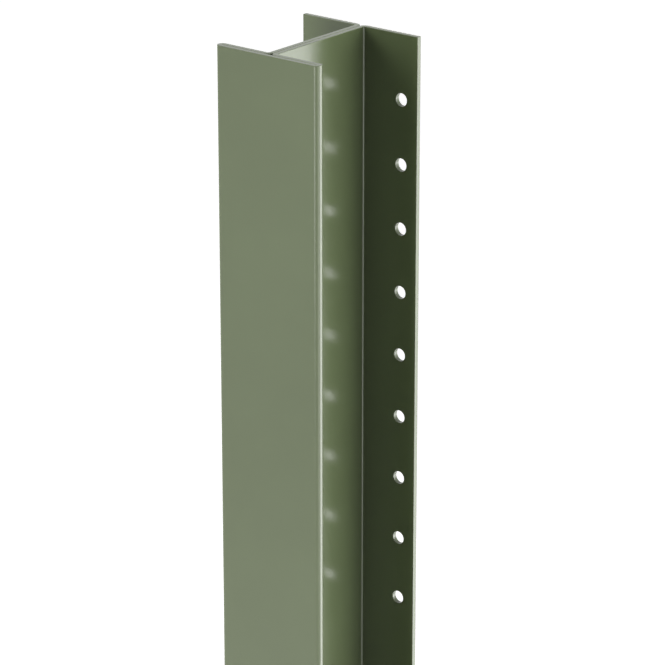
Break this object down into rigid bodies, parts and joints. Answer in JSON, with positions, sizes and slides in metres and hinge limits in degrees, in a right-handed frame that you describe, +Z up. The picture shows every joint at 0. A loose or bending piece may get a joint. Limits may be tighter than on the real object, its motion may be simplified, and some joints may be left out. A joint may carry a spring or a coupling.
{
  "type": "metal fence post",
  "caption": "Roll-formed sheet steel fence post of I section with a panel slot each side, a folded double front flange and web, and a wider rear flange with punched fixing holes.",
  "frame": {"origin": "centre of the section at the post's bottom end, the end that is set in the ground", "axes": "+Z up along the post, -Y out of the narrower doubled front flange, +Y out of the wider rear flange with the fixing holes, +X across both panel slots"},
  "size_m": [0.054, 0.056, 1.8],
  "materials": {
    "green_paint": "satin powder coat, dark olive green"
  },
  "bodies": {
    "root": {"fence_post": "green_paint"}
  },
  "joints": []
}
